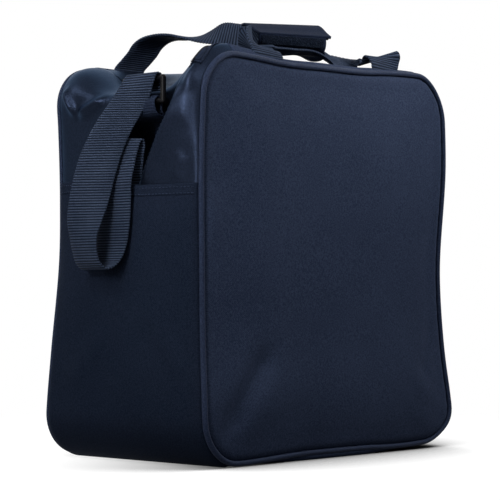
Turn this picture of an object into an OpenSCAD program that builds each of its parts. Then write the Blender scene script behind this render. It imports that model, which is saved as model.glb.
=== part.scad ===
// Soft carry bag for bowls: padded front and back panels edged with piping,
// a cloth band round them, a zipped top flap, slip pockets on both ends,
// two webbing handles joined by a wrap-round grip, and a shoulder strap.
// Front is -Y, up is +Z, and the bag stands on z = 0 about the origin.

/* [Body] */
// Width of the front and back panels
bag_w = 338; // [280:1:420]
// Depth over both pipings
bag_d = 192; // [150:1:240]
// Height of the panels, without the handles
bag_h = 355; // [300:1:430]
// Corner radius of the panels
corner_r = 42; // [30:1:60]
// Thickness of one layer of bag cloth
cloth_t = 1.5; // [1.2:0.1:2]
// Thickness of the foam in the front and back panels
foam_t = 4.5; // [3:0.5:8]
// Thickness of the lining
lining_t = 1; // [0.6:0.1:1.5]
// Diameter of the piping
piping_d = 5; // [4.5:0.5:7]
// Thickness of the stiff board in the base
board_t = 3; // [2:0.5:6]
// Width of the tape that binds the seams inside
binding_w = 11; // [8:1:16]

/* [Top and zip] */
// Width of the fixed strip behind the front piping
front_strip_w = 14; // [12:1:24]
// Width of the fixed strip in front of the back piping
rear_strip_w = 12; // [10:1:20]
// Width of one row of zip teeth
teeth_w = 2.4; // [2:0.1:3]
// Height of the zip teeth above their tape
teeth_h = 2.3; // [2:0.1:3]
// Thickness of the zip tape
tape_t = 0.8; // [0.6:0.1:1]
// Depth of zip tape sewn under the cloth
tape_lap = 8; // [5:1:12]
// Length of the zip slider
slider_l = 16; // [12:1:20]
// Width of the zip slider
slider_w = 8.4; // [8:0.2:10]
// Length of the zip puller from its pin
puller_l = 34; // [24:1:42]

/* [Pockets] */
// Height of the pocket mouth above the floor
hem_z = 240; // [180:1:280]
// How far a pocket stands off the end at its middle
pocket_bulge = 14; // [12:1:20]
// Depth of the hem round a pocket mouth
hem_w = 12; // [8:1:18]

/* [Handles] */
// Width of all webbing
webbing_w = 38; // [32:1:45]
// Thickness of the webbing
webbing_t = 2.2; // [1.6:0.1:2.6]
// Distance of each handle end from the middle of the bag
handle_x = 82; // [70:1:95]

/* [Grip wrap] */
// Length of the wrap along the handles
wrap_l = 110; // [95:1:120]
// Width of the wrap from front to back
wrap_w = 50; // [46:1:60]
// How far right of the middle the wrap lies
wrap_x = 5; // [0:1:10]
// How far in front of the middle the wrap lies
wrap_front = 44; // [20:1:45]
// Gap for the fingers between the top flap and the wrap
finger_gap = 10; // [8:1:30]
// Height of the back wall of the wrap
wrap_h = 34; // [30:1:42]
// Height of the front wall of the wrap
wrap_front_h = 15; // [12:1:16]
// How far the leaf droops from its fold at rest
leaf_droop = 16; // [8:1:18]

/* [Strap rings] */
// Diameter of the bars of a strap ring
ring_bar_d = 5; // [4:0.5:6]
// Clear height of the slot in a strap ring
ring_slot_h = 15; // [12:1:20]
// Height of the ring pivots above the floor
ring_z = 315; // [300:1:318]
// How far in front of the middle the rings sit
ring_front = 28; // [0:1:40]
// Length of a ring tab sewn to the end
tab_l = 34; // [25:1:45]
// Thickness of the hook at the end of the strap
hook_t = 4.5; // [4:0.5:6]

/* [Hidden] */
$fn = 48;

// Clearances
run_gap = 0.3;  // between pieces that move past each other
lay_gap = 0.4;  // between soft layers that lie on each other
snug = 0.05;    // between curved faces of one body

navy = "#232c44";
dark_navy = "#171d30";
satin_navy = "#3a4666";
web_navy = "#2b3550";
black = "#15161a";
lining_grey = "#3b3f48";
foam_grey = "#8a8d93";
board_brown = "#7d6b52";

half_w = bag_w / 2;
half_d = bag_d / 2;
flat_w = half_w - corner_r;

// Seam: the piping lies between a panel's edge and the cloth band
piping_r = piping_d / 2;
base_lift = 0.4;
seam_in = piping_r + base_lift;
panel_in = seam_in + piping_r;
piping_y = half_d - piping_r;
band_y = piping_y - sqrt(pow(piping_r, 2) - pow(seam_in - cloth_t, 2)) - snug;
foam_y = piping_y - foam_t;
lining_y = foam_y - lining_t;
binding_y = lining_y - lining_t;

// Top and zip
top_under = bag_h - cloth_t;
slider_clear = 1;
edge_gap = slider_w / 2 + slider_clear;
row_gap = 0.8;
strip_edge = -band_y + front_strip_w;
zip_y = strip_edge + edge_gap;
flap_edge = zip_y + edge_gap;
hinge_y = band_y - rear_strip_w - run_gap - cloth_t / 2;
hinge_z = bag_h - cloth_t / 2;
tape_half = flat_w - 1;
tape_z = top_under - tape_t;
teeth_top = top_under + teeth_h;
plate_t = 1.5;
slider_park = -flat_w + slider_l;
pin_d = 1.6;
eye_d = 4;
eye_clear = 0.4;
pin_z = teeth_top + run_gap + plate_t + eye_d / 2 + eye_clear;
eye_w = 3.2;
lug_t = 1;

// Pockets: a bowed sheet whose chord lies on the end
pocket_r = (pow(band_y, 2) + pow(pocket_bulge, 2)) / (2 * pocket_bulge);

// Grip wrap
wrap_y = -wrap_front;
wrap_left = wrap_x - wrap_l / 2;
wrap_right = wrap_x + wrap_l / 2;
wrap_z = bag_h + finger_gap;
leaf_z = wrap_z + wrap_h;
leaf_y = wrap_y + wrap_w / 2 - cloth_t / 2;
leaf_l = wrap_w - cloth_t;
strip_t = 1;
strip_margin = 4;

// Handles: where their ends stand and where they pass through the wrap
seat_z = bag_h + run_gap;
foot_in = 4.4;
foot_y = band_y - foot_in;
front_web_z = wrap_z + cloth_t + lay_gap + webbing_t / 2;
rear_web_z = front_web_z + webbing_t + lay_gap;

// Strap rings
ring_r = ring_bar_d / 2;
eye_wall = 2.2;
ring_bore = ring_r + run_gap;
ring_stand = 0.5;
ring_x = half_w + ring_bore + eye_wall + ring_stand;
ring_y = -ring_front;
ring_side = 2;
ring_half = webbing_w / 2 + ring_side + ring_r;
ring_h = ring_slot_h + ring_bar_d;

// Points along each handle, from its left foot through the wrap to its right foot.
// Each end leaves the wrap straight, then turns level on an arc towards its foot.
leave = 4;
turn_r = 26;
turn_in = turn_r * (1 - cos(45));
rear_route = [
    [-handle_x, foot_y, seat_z],
    [-handle_x, foot_y, seat_z + 14],
    [-handle_x, foot_y - 5, seat_z + 25],
    [-handle_x, foot_y - 20, seat_z + 32],
    [-handle_x, foot_y - 50, seat_z + 30],
    [wrap_left - leave - turn_r, wrap_y + turn_r + 18, rear_web_z + 3],
    [wrap_left - leave - turn_r, wrap_y + turn_r, rear_web_z],
    [wrap_left - leave - turn_r + turn_in, wrap_y + turn_in, rear_web_z],
    [wrap_left - leave, wrap_y, rear_web_z],
    [wrap_left + leave, wrap_y, rear_web_z],
    [wrap_right - leave, wrap_y, rear_web_z],
    [wrap_right + leave, wrap_y, rear_web_z],
    [wrap_right + leave + turn_r - turn_in, wrap_y + turn_in, rear_web_z],
    [wrap_right + leave + turn_r, wrap_y + turn_r, rear_web_z],
    [wrap_right + leave + turn_r, wrap_y + turn_r + 18, rear_web_z + 3],
    [handle_x + 2, foot_y - 50, seat_z + 30],
    [handle_x, foot_y - 20, seat_z + 32],
    [handle_x, foot_y - 5, seat_z + 25],
    [handle_x, foot_y, seat_z + 14],
    [handle_x, foot_y, seat_z],
];
front_route = [
    [-handle_x, -foot_y, seat_z],
    [-handle_x, -foot_y, seat_z + 8],
    [-handle_x, -foot_y + 5, seat_z + 12],
    [wrap_left - leave - turn_r, wrap_y - turn_r, front_web_z],
    [wrap_left - leave - turn_r + turn_in, wrap_y - turn_in, front_web_z],
    [wrap_left - leave, wrap_y, front_web_z],
    [wrap_left + leave, wrap_y, front_web_z],
    [wrap_right - leave, wrap_y, front_web_z],
    [wrap_right + leave, wrap_y, front_web_z],
    [wrap_right + leave + turn_r - turn_in, wrap_y - turn_in, front_web_z],
    [wrap_right + leave + turn_r, wrap_y - turn_r, front_web_z],
    [handle_x + 3, -foot_y + 5, seat_z + 12],
    [handle_x, -foot_y, seat_z + 8],
    [handle_x, -foot_y, seat_z],
];

// Shoulder strap, from its sewn end round the left ring's bar, down on the outside, up again
// behind itself in one slack loop and down into the pocket; the last two numbers lean and turn
// the webbing
strap_route = [
    [-170.5, -28, 324, 0, 0],
    [-170.5, -28, 335, 0, 0],
    [-171.7, -28, 337.9, 0, 0],
    [-174.5, -28, 339.1, 0, 0],
    [-177.8, -28, 338.3, 0, 0],
    [-180.4, -27, 333, 5, 0],
    [-183, -20, 318, 20, 5],
    [-186, -10.5, 304, 30, 14],
    [-189.5, -3, 291, 27, 22],
    [-193.5, 3.5, 275, 19, 28],
    [-197.5, 7.5, 258, 12, 31],
    [-201, 10, 241, 8, 32],
    [-204, 12, 224, 7, 30],
    [-206, 13.7, 211, 6, 24],
    [-206.5, 14.7, 199.7, 3, 16],
    [-204.5, 15, 185, 0, 6],
    [-201.5, 13, 174.5, 0, 0],
    [-197.5, 10, 170.5, 2, 0],
    [-193.5, 6, 172.5, 6, 0],
    [-190.5, 2, 179, 10, 0],
    [-188.5, -1.5, 190, 10, 0],
    [-188, -4.2, 207, 7, 0],
    [-187.5, -5.6, 233, 2, 0],
    [-187, -6, 245, 1, 0],
    [-184.5, -6.3, 256, 2, 0],
    [-182, -7, 268, 5, 0],
    [-180.5, -8.5, 276, 10, 0],
    [-179.2, -9.8, 281.5, 12, 0],
    [-177.4, -11, 284, 12, 0],
    [-175.7, -11, 281.5, 12, 0],
    [-174.5, -8.8, 270, 13, 0],
    [-173.4, -5, 254, 14, 0],
    [-172.4, -1.8, 240, 11, 0],
    [-171.8, 1, 224, 6, 0],
    [-171.3, 1.5, 198, -6, 0],
    [-171.3, -6, 165, -16, 0],
    [-171.2, -18.5, 134, -20, 0],
    [-171.2, -29.4, 104, -20, 0],
    [-171.2, -38.2, 80, -20, 0],
    [-171.7, -38.9, 78.2, -20, 0],
    [-172.9, -39.2, 77.4, -20, 0],
    [-174.1, -38.9, 78.2, -20, 0],
    [-174.6, -38.2, 80, -20, 0],
    [-174.7, -29, 105, -20, 0],
    [-174.8, -18.5, 134, -20, 0],
    [-174.9, -9, 160, -20, 0],
];
strap_t = 2;
strap_end = strap_route[len(strap_route) - 1];
hook_frame_w = webbing_w + 6;
hook_frame_h = 14;
hook_neck_w = 12;
hook_neck_l = 8;
hook_ring_r = 12;
hook_ring_in = 7;
hook_mouth = 5;

function unit(v) = v / norm(v);
function along(p, i) = unit(p[min(i + 1, len(p) - 1)] - p[max(i - 1, 0)]);
function square_to(v, t) = unit(v - (v * t) * t);

// Box between two corners
module block(low, high) {
    translate(low) cube(high - low);
}

// Panel outline drawn in from the seam, as true arcs and straight sides
module outline(inset) {
    w = bag_w - 2 * inset;
    h = bag_h - 2 * inset;
    r = corner_r - inset;
    square([w - 2 * r, h], center = true);
    square([w, h - 2 * r], center = true);
    for (sx = [-1, 1], sz = [-1, 1])
        translate([sx * (w / 2 - r), sz * (h / 2 - r)])
            circle(r);
}

// Upright sheet of panel outline, from y = y0 to y0 + t
module sheet(inset, y0, t) {
    translate([0, y0 + t, bag_h / 2]) rotate([90, 0, 0])
        linear_extrude(t) outline(inset);
}

// Quarter of the cloth band round a corner; start is 0, 90, 180 or 270 degrees
module band_corner(start, y0, y1, outer_r, t, sweep = 90) {
    sx = start == 0 || start == 270 ? 1 : -1;
    zc = start < 180 ? bag_h - corner_r : corner_r;
    translate([sx * flat_w, y1, zc]) rotate([90, 0, 0])
        rotate([0, 0, start + (90 - sweep) / 2]) rotate_extrude(angle = sweep)
            translate([outer_r - t, 0]) square([t, y1 - y0]);
}

// Cord of piping round a panel, centred at y
module piping(y) {
    r = corner_r - seam_in;
    side_h = bag_h - 2 * corner_r;
    for (sz = [seam_in, bag_h - seam_in])
        translate([-flat_w, y, sz]) rotate([0, 90, 0]) cylinder(d = piping_d, h = 2 * flat_w);
    for (sx = [-1, 1])
        translate([sx * (half_w - seam_in), y, corner_r]) cylinder(d = piping_d, h = side_h);
    for (start = [0, 90, 180, 270]) {
        sx = start == 0 || start == 270 ? 1 : -1;
        zc = start < 180 ? bag_h - corner_r : corner_r;
        translate([sx * flat_w, y, zc]) rotate([90, 0, 0]) rotate([0, 0, start])
            rotate_extrude(angle = 90) translate([r, 0]) circle(d = piping_d);
    }
}

// Flat frame of tape over the seam inside, from y0 to y0 + lining_t
module seam_binding(y0) {
    difference() {
        sheet(cloth_t + snug, y0, lining_t);
        sheet(cloth_t + binding_w, y0 - 1, lining_t + 2);
    }
}

// Pieces of the two ends are drawn on the right and mirrored to the left
module on_left() {
    mirror([1, 0, 0]) children();
}

module end_panel() {
    block([half_w - cloth_t, -band_y, corner_r], [half_w, band_y, bag_h - corner_r]);
    band_corner(0, -band_y, band_y, corner_r, cloth_t);
}

// Part of a round disc, bowed off the end, that lies outside the end panel
module bow(radius) {
    intersection() {
        translate([half_w + pocket_bulge - pocket_r, 0]) circle(radius, $fn = 180);
        translate([half_w, -half_d]) square([2 * pocket_bulge, bag_d]);
    }
}

module pocket() {
    translate([0, 0, corner_r]) linear_extrude(hem_z - corner_r)
        difference() {
            bow(pocket_r);
            bow(pocket_r - cloth_t);
        }
    translate([0, 0, corner_r]) linear_extrude(cloth_t) bow(pocket_r);
}

module pocket_hem() {
    translate([0, 0, hem_z - hem_w]) linear_extrude(hem_w)
        difference() {
            bow(pocket_r + snug + lining_t);
            bow(pocket_r + snug);
        }
}

// One side of the zip: side is -1 for the front, 1 for the rear
module zip_tape(side) {
    inner = zip_y + side * row_gap;
    outer = zip_y + side * (edge_gap + tape_lap);
    block([-tape_half, min(inner, outer), tape_z], [tape_half, max(inner, outer), top_under]);
}

module zip_teeth(side) {
    inner = zip_y + side * row_gap;
    outer = inner + side * teeth_w;
    block([-tape_half, min(inner, outer), top_under], [tape_half, max(inner, outer), teeth_top]);
}

// Cloth tab over an end of the zip, half way round the corner
module zip_tab(start) {
    tab_t = 1.2;
    tab_half = 8;
    tab_sweep = 34;
    band_corner(start, zip_y - tab_half, zip_y + tab_half, corner_r + snug + tab_t, tab_t, tab_sweep);
}

// Closed strip of webbing swept through points, with the way it faces across at each
module ribbon(points, across, w, t) {
    last = len(points) - 1;
    corners = [
        for (i = [0:last])
            let (
                tn = along(points, i),
                wv = square_to(across[i], tn) * w / 2,
                nv = cross(tn, unit(wv)) * t / 2
            )
            each [points[i] + wv + nv, points[i] - wv + nv, points[i] - wv - nv, points[i] + wv - nv]
    ];
    sides = [
        for (i = [0:last - 1], k = [0:3])
            let (a = 4 * i + k, d = 4 * i + (k + 1) % 4)
            each [[a, a + 4, d + 4], [a, d + 4, d]]
    ];
    e = 4 * last;
    ends = [[0, 1, 2], [0, 2, 3], [e + 2, e + 1, e], [e + 3, e + 2, e]];
    polyhedron(corners, concat(ends, sides));
}

// Handle whose webbing lies level between its two feet; foot is the way the left foot faces across
module handle(route, foot) {
    last = len(route) - 1;
    across = [
        for (i = [0:last])
            i == 0 ? foot : i == last ? -foot : cross([0, 0, 1], along(route, i))
    ];
    ribbon(route, across, webbing_w, webbing_t);
}

// Tab of webbing on the right end, folded round the pivot bar of a ring
module ring_tab() {
    across = webbing_w - 2;
    difference() {
        union() {
            block(
                [half_w, ring_y - across / 2, ring_z - tab_l],
                [half_w + ring_stand + eye_wall, ring_y + across / 2, ring_z]
            );
            translate([ring_x, ring_y + across / 2, ring_z]) rotate([90, 0, 0])
                cylinder(r = ring_bore + eye_wall, h = across);
        }
        translate([ring_x, ring_y + across, ring_z]) rotate([90, 0, 0])
            cylinder(r = ring_bore, h = 2 * across);
    }
}

// Two-bar ring on the right end; up is 1 when it stands and -1 when it hangs
module strap_ring(up) {
    far_z = ring_z + up * ring_h;
    for (z = [ring_z, far_z])
        translate([ring_x, ring_y + ring_half, z]) rotate([90, 0, 0])
            cylinder(r = ring_r, h = 2 * ring_half);
    for (sy = [-1, 1]) {
        translate([ring_x, ring_y + sy * ring_half, min(ring_z, far_z)])
            cylinder(r = ring_r, h = ring_h);
        for (z = [ring_z, far_z])
            translate([ring_x, ring_y + sy * ring_half, z]) sphere(r = ring_r);
    }
}

// Flat leaf over the wrap in its own plane, folded at y = 0
module leaf_sheet() {
    block([wrap_left, -leaf_l, -cloth_t / 2], [wrap_right, 0, cloth_t / 2]);
    translate([wrap_left, 0, 0]) rotate([0, 90, 0]) cylinder(d = cloth_t, h = wrap_l);
}

module at_leaf() {
    translate([0, leaf_y, leaf_z]) rotate([leaf_droop, 0, 0]) children();
}

module front_shell() {
    color(navy) sheet(panel_in, -piping_y - cloth_t, cloth_t);
}
module front_foam() {
    color(foam_grey) sheet(panel_in, -piping_y, foam_t);
}
module front_lining() {
    color(lining_grey) sheet(panel_in, -foam_y, lining_t);
}
module front_piping() {
    color(dark_navy) piping(-piping_y);
}
module front_seam_binding() {
    color(black) seam_binding(-lining_y);
}
module back_shell() {
    color(navy) sheet(panel_in, piping_y, cloth_t);
}
module back_foam() {
    color(foam_grey) sheet(panel_in, foam_y, foam_t);
}
module back_lining() {
    color(lining_grey) sheet(panel_in, lining_y, lining_t);
}
module back_piping() {
    color(dark_navy) piping(piping_y);
}
module back_seam_binding() {
    color(black) seam_binding(binding_y);
}

module base_panel() {
    color(navy) {
        block([-flat_w, -band_y, 0], [flat_w, band_y, cloth_t]);
        band_corner(180, -band_y, band_y, corner_r, cloth_t);
        band_corner(270, -band_y, band_y, corner_r, cloth_t);
    }
}
module base_board() {
    board_y = binding_y - run_gap;
    color(board_brown) block([-flat_w, -board_y, cloth_t], [flat_w, board_y, cloth_t + board_t]);
}
module left_end_panel() {
    color(satin_navy) on_left() end_panel();
}
module right_end_panel() {
    color(satin_navy) end_panel();
}
module left_pocket() {
    color(navy) on_left() pocket();
}
module right_pocket() {
    color(navy) pocket();
}
module left_pocket_hem() {
    color(dark_navy) on_left() pocket_hem();
}
module right_pocket_hem() {
    color(dark_navy) pocket_hem();
}

module top_front_strip() {
    color(navy) block([-flat_w, -band_y, top_under], [flat_w, strip_edge, bag_h]);
}
module top_rear_strip() {
    color(navy) block([-flat_w, band_y - rear_strip_w, top_under], [flat_w, band_y, bag_h]);
}
module top_flap() {
    flap_half = flat_w - lay_gap;
    color(navy) {
        block([-flap_half, flap_edge, top_under], [flap_half, hinge_y, bag_h]);
        translate([-flap_half, hinge_y, hinge_z]) rotate([0, 90, 0])
            cylinder(d = cloth_t, h = 2 * flap_half);
    }
}

module zip_tape_front() {
    color(black) zip_tape(-1);
}
module zip_tape_rear() {
    color(black) zip_tape(1);
}
module zip_teeth_front() {
    color(black) zip_teeth(-1);
}
module zip_teeth_rear() {
    color(black) zip_teeth(1);
}
// Upper and lower plates joined by a post between the rows, with lugs for the puller's pin
module zip_slider() {
    post_l = 6;
    post_t = 2 * (row_gap - run_gap);
    lug_y = eye_w / 2 + run_gap;
    half_l = slider_l / 2;
    half = slider_w / 2;
    over = teeth_top + run_gap;
    under = tape_z - run_gap;
    color("silver") translate([slider_park, zip_y, 0]) {
        block([-half_l, -half, over], [half_l, half, over + plate_t]);
        block([-half_l, -half, under - plate_t], [half_l, half, under]);
        block([-post_l / 2, -post_t / 2, under - plate_t], [post_l / 2, post_t / 2, over + plate_t]);
        for (sy = [-1, 1])
            translate([0, sy * (lug_y + lug_t / 2), 0])
                block([-eye_d / 2, -lug_t / 2, over], [eye_d / 2, lug_t / 2, pin_z + pin_d]);
        translate([0, lug_y + lug_t, pin_z]) rotate([90, 0, 0])
            cylinder(d = pin_d, h = 2 * (lug_y + lug_t));
    }
}
module zip_puller() {
    blade_w = 8;
    blade_t = 1.6;
    blade_x = 4;
    hole_d = 4;
    color("silver") translate([slider_park, zip_y, pin_z]) difference() {
        union() {
            translate([0, eye_w / 2, 0]) rotate([90, 0, 0]) cylinder(d = eye_d, h = eye_w);
            block([0, -eye_w / 2, -blade_t / 2], [blade_x + 2, eye_w / 2, blade_t / 2]);
            block([blade_x, -blade_w / 2, -blade_t / 2], [puller_l - blade_w / 2, blade_w / 2, blade_t / 2]);
            translate([puller_l - blade_w / 2, 0, -blade_t / 2]) cylinder(d = blade_w, h = blade_t);
        }
        translate([0, eye_w, 0]) rotate([90, 0, 0]) cylinder(d = pin_d + 2 * run_gap, h = 2 * eye_w);
        translate([puller_l - blade_w / 2, 0, -blade_t]) cylinder(d = hole_d, h = 2 * blade_t);
    }
}
module zip_tab_left() {
    color(black) zip_tab(90);
}
module zip_tab_right() {
    color(black) zip_tab(0);
}

module front_handle() {
    color(web_navy) handle(front_route, [-1, 0, 0]);
}
module rear_handle() {
    color(web_navy) handle(rear_route, [1, 0, 0]);
}
// Channel of cloth that holds both handles together, open along its top
module grip_sleeve() {
    front = wrap_y - wrap_w / 2;
    back = wrap_y + wrap_w / 2;
    back_top = leaf_z - cloth_t / 2 - run_gap;
    color(navy) {
        block([wrap_left, front, wrap_z], [wrap_right, back, wrap_z + cloth_t]);
        block([wrap_left, back - cloth_t, wrap_z], [wrap_right, back, back_top]);
        block([wrap_left, front, wrap_z], [wrap_right, front + cloth_t, wrap_z + wrap_front_h]);
    }
}
module grip_loop_strip() {
    front = wrap_y - wrap_w / 2;
    color(dark_navy) block(
        [wrap_left + strip_margin, front - strip_t, wrap_z + 1],
        [wrap_right - strip_margin, front, wrap_z + wrap_front_h - 1]
    );
}
module grip_flap() {
    color(navy) at_leaf() leaf_sheet();
}
module grip_hook_strip() {
    strip_y = -leaf_l + strip_margin;
    strip_l = 24;
    color(black) at_leaf() block(
        [wrap_left + strip_margin, strip_y, -cloth_t / 2 - strip_t],
        [wrap_right - strip_margin, strip_y + strip_l, -cloth_t / 2]
    );
}

module left_ring_tab() {
    color(web_navy) on_left() ring_tab();
}
module left_ring() {
    color(black) on_left() strap_ring(1);
}
module right_ring_tab() {
    color(web_navy) ring_tab();
}
module right_ring() {
    color(black) strap_ring(-1);
}
module shoulder_strap() {
    color(web_navy) ribbon(
        [for (s = strap_route) [s[0], s[1], s[2]]],
        [for (s = strap_route) [-sin(s[4]) * cos(s[3]), cos(s[4]) * cos(s[3]), sin(s[3])]],
        webbing_w, strap_t
    );
}
// Flat hook moulded on the free end of the strap, stowed in the pocket
module strap_hook() {
    ring_up = hook_frame_h + hook_neck_l + hook_ring_in;
    color(black) translate([strap_end[0] - hook_t / 2, strap_end[1], strap_end[2] + run_gap])
        rotate([strap_end[3], 0, 0]) rotate([90, 0, 90]) linear_extrude(hook_t) {
            translate([-hook_frame_w / 2, 0]) square([hook_frame_w, hook_frame_h]);
            translate([-hook_neck_w / 2, hook_frame_h]) square([hook_neck_w, hook_neck_l]);
            difference() {
                translate([0, ring_up]) circle(hook_ring_r);
                translate([0, ring_up]) circle(hook_ring_in);
                translate([0, ring_up - hook_mouth / 2]) square([hook_ring_r + 1, hook_mouth]);
            }
        }
}

front_shell();
front_foam();
front_lining();
front_piping();
front_seam_binding();
back_shell();
back_foam();
back_lining();
back_piping();
back_seam_binding();
base_panel();
base_board();
left_end_panel();
right_end_panel();
left_pocket();
right_pocket();
left_pocket_hem();
right_pocket_hem();
top_front_strip();
top_rear_strip();
top_flap();
zip_tape_front();
zip_tape_rear();
zip_teeth_front();
zip_teeth_rear();
zip_slider();
zip_puller();
zip_tab_left();
zip_tab_right();
front_handle();
rear_handle();
grip_sleeve();
grip_loop_strip();
grip_flap();
grip_hook_strip();
left_ring_tab();
left_ring();
right_ring_tab();
right_ring();
shoulder_strap();
strap_hook();
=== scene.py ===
import math

import bmesh
import bpy
import numpy as np
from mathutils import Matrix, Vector


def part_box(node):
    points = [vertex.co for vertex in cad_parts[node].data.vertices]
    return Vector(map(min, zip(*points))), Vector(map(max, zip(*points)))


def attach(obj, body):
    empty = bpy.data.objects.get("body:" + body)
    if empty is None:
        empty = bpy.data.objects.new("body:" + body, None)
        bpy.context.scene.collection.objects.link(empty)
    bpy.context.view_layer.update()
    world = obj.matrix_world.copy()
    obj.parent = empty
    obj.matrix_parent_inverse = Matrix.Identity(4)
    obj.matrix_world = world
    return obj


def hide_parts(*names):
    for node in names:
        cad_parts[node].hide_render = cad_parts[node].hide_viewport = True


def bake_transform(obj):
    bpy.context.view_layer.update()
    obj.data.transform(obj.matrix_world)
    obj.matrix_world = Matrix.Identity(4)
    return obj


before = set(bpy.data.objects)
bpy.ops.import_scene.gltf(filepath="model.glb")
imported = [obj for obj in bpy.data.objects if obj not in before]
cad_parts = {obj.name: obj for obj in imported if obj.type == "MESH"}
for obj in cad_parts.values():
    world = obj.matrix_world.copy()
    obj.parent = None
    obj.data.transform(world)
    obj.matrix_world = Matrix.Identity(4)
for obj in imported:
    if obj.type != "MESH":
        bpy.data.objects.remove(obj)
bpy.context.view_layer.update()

# Lengths are in millimetres in the row frame; meshes, lights and the camera are made in metres.
MM = 0.001


def corners(node):
    low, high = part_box(node)
    return np.array(low) / MM, np.array(high) / MM


# Sizes of the bag, from the frame
end_low, end_high = corners("left_end_panel")
HALF_W = -end_low[0]
HEIGHT = end_high[2]
CORNER_R = corners("base_panel")[1][2]
FLAT_W = HALF_W - CORNER_R
piping_low, piping_high = corners("front_piping")
HALF_D = -piping_low[1]
PIPING_R = (piping_high[1] - piping_low[1]) / 2
PIPING_Y = HALF_D - PIPING_R
SEAM_IN = HALF_W - piping_high[0] + PIPING_R
STRIP_EDGE = corners("top_front_strip")[1][1]
FLAP_FRONT = corners("top_flap")[0][1]
FLAP_REAR = corners("top_flap")[1][1]
REAR_STRIP = corners("top_rear_strip")[0][1]
ZIP_Y = (STRIP_EDGE + FLAP_FRONT) / 2
HEM_Z = corners("left_pocket")[1][2]
HEM_W = HEM_Z - corners("left_pocket_hem")[0][2]
WEBBING_W = 38.0

# Camera fitted to the photograph: focal length and offsets in pixels of its 500-pixel frame
IMAGE_W = 500
FOCAL_PX = 1860
OFFSET_PX = (6.1, 13.3)
CAMERA_AT = (-1297.7, -1188.7, 148.3)
CAMERA_AIM = (0, 0, 177.5)
SENSOR_W = 36


def add_object(name, data):
    """New object of the scene for a mesh, a lamp or a camera."""
    made = bpy.data.objects.new(name, data)
    bpy.context.scene.collection.objects.link(made)
    return made


def stand(thing, at, aim):
    """Put a camera or a lamp at a place in metres and turn it towards another."""
    thing.location = at
    thing.rotation_euler = (Vector(aim) - Vector(at)).to_track_quat("-Z", "Y").to_euler()


def make_camera():
    data = bpy.data.cameras.new("camera")
    data.sensor_width = SENSOR_W
    data.lens = SENSOR_W * FOCAL_PX / IMAGE_W
    data.shift_x = -OFFSET_PX[0] / IMAGE_W
    data.shift_y = OFFSET_PX[1] / IMAGE_W
    camera = add_object("camera", data)
    stand(camera, Vector(CAMERA_AT) * MM, Vector(CAMERA_AIM) * MM)
    bpy.context.scene.camera = camera


make_camera()


# Curves and interpolation

def smooth(t):
    t = np.clip(t, 0, 1)
    return t * t * (3 - 2 * t)


def eased(value, span):
    """Smooth step from 0 at the start of a span to 1 at its end; the span may run downwards."""
    return smooth((value - span[0]) / (span[1] - span[0]))


def hump(value, middle, width):
    return np.exp(-((value - middle) / width) ** 2)


def through(keys, at):
    """Smooth values through keys of (place, value, ...), held beyond the first and last key."""
    keys = np.asarray(keys, float)
    place = keys[:, 0]
    value = keys[:, 1:]
    slope = np.gradient(value, place, axis=0)
    i = np.clip(np.searchsorted(place, at) - 1, 0, len(place) - 2)
    h = (place[i + 1] - place[i])[:, None]
    s = np.clip((at - place[i])[:, None] / h, 0, 1)
    start = (1 + 2 * s) * (1 - s) ** 2 * value[i] + s * (1 - s) ** 2 * h * slope[i]
    end = s * s * (3 - 2 * s) * value[i + 1] + s * s * (s - 1) * h * slope[i + 1]
    return start + end


def level(keys, at):
    """Smooth single value through keys of (place, value)."""
    return through(keys, at)[:, 0]


def lengths(path):
    """Length along a path up to each of its points."""
    return np.r_[0, np.cumsum(np.linalg.norm(np.diff(path, axis=0), axis=1))]


def along(path, at):
    """Places at given lengths along a path."""
    run = lengths(path)
    return np.column_stack([np.interp(at, run, column) for column in path.T])


def resample(points, step, extra=None):
    """Smooth path through points at an even step, with extra values carried along."""
    points = np.asarray(points, float)
    columns = points if extra is None else np.hstack([points, np.asarray(extra, float)])
    run = lengths(points)
    fine = np.linspace(0, run[-1], 40 * len(points))
    dense = through(np.column_stack([run, columns]), fine)
    length = lengths(dense[:, :3])
    count = max(2, int(round(length[-1] / step)) + 1)
    even = np.linspace(0, length[-1], count)
    return np.column_stack([np.interp(even, length, column) for column in dense.T])


def unit(v):
    return v / np.linalg.norm(v, axis=-1, keepdims=True)


def spread(count, edge=0.4):
    """Places from -1 to 1, closer together towards both ends."""
    t = np.linspace(-1, 1, count)
    return (1 - edge) * t + edge * np.sin(t * math.pi / 2)


def places(x, y, z):
    """Points from coordinates that fill each other out to one grid."""
    return np.stack(np.broadcast_arrays(x, y, z), axis=-1)


# Meshes

def add_mesh(name, points, faces, material):
    """Closed smooth mesh with outward faces."""
    mesh = bpy.data.meshes.new(name)
    mesh.from_pydata((np.asarray(points) * MM).tolist(), [], faces)
    mesh.materials.append(material)
    cleaner = bmesh.new()
    cleaner.from_mesh(mesh)
    bmesh.ops.recalc_face_normals(cleaner, faces=cleaner.faces)
    for face in cleaner.faces:
        face.smooth = True
    cleaner.to_mesh(mesh)
    cleaner.free()
    return add_object(name, mesh)


def settle(piece, body, slot, *nodes):
    """The piece moves with a body and stands for its nodes; the slot is not used."""
    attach(piece, body)
    finish(piece, slot, *nodes)


def finish(piece, slot, *nodes):
    if nodes:
        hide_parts(*nodes)


def grid_faces(rows, cols, first=0, ring=False):
    """Quads of a grid of points; a ring joins its last column to its first."""
    across = cols if ring else cols - 1
    faces = []
    for row in range(first, first + (rows - 1) * cols, cols):
        for c in range(across):
            after = (c + 1) % cols
            faces.append((row + c, row + after, row + cols + after, row + cols + c))
    return faces


def tube_faces(rows, cols, first=0):
    """Faces of a row of rings, with a flat face at each end."""
    last = first + (rows - 1) * cols
    ends = [tuple(range(first, first + cols)), tuple(range(last, last + cols))]
    return grid_faces(rows, cols, first, ring=True) + ends


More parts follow.
